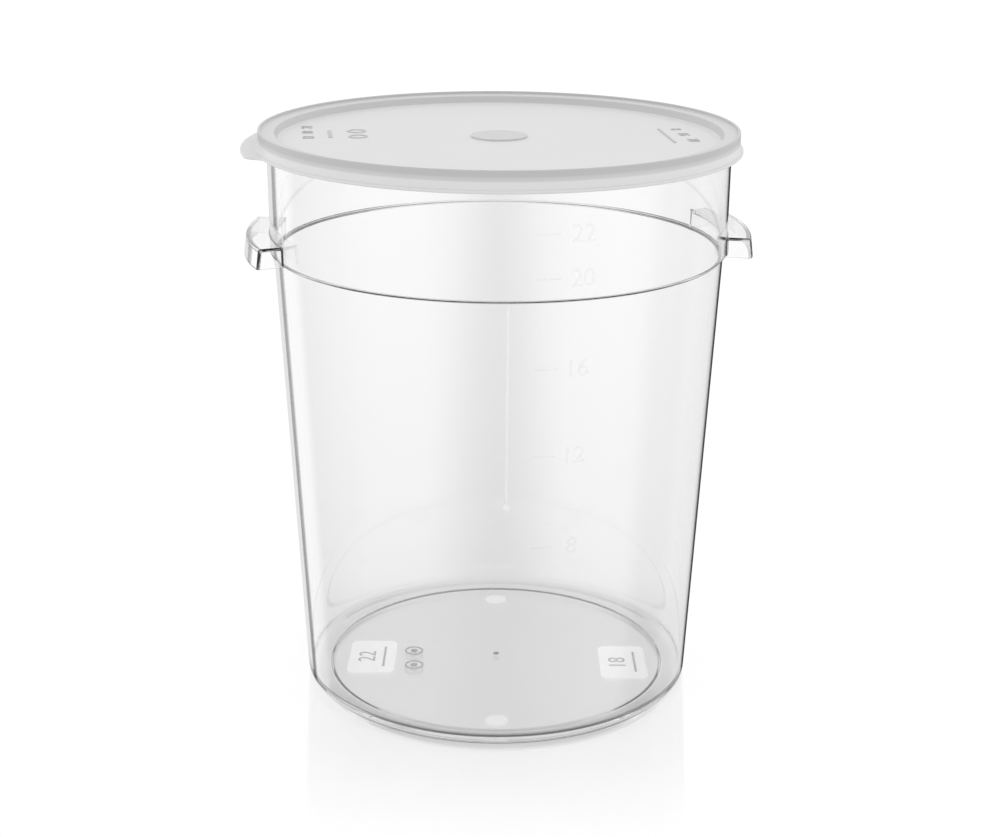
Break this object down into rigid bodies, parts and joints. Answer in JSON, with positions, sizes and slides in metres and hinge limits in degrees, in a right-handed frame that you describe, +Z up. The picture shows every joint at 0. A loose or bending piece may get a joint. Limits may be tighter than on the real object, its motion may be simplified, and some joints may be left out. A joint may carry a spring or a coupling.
{
  "type": "dough proofing container",
  "caption": "Round clear container with a tapered wall, shoulder, moulded side handles and a press-on translucent lid with a pull tab.",
  "frame": {"origin": "centre of the foot ring, on the surface that the container stands on", "axes": "+Z up along the container's axis, +X through one handle, +Y towards the back"},
  "size_m": [0.3374, 0.3188, 0.383],
  "materials": {
    "clear_plastic": "clear, glossy",
    "milky_plastic": "translucent white, satin",
    "graduation_print": "raised frosted graduations",
    "frosted_patch": "frosted"
  },
  "bodies": {
    "container": {"container": "clear_plastic"},
    "lid": {"lid": "milky_plastic"}
  },
  "joints": [
    {"name": "lid_lift", "type": "slide", "parent": "container", "child": "lid", "axis": [0, 0, 1], "range_m": [0, 0.12]}
  ]
}
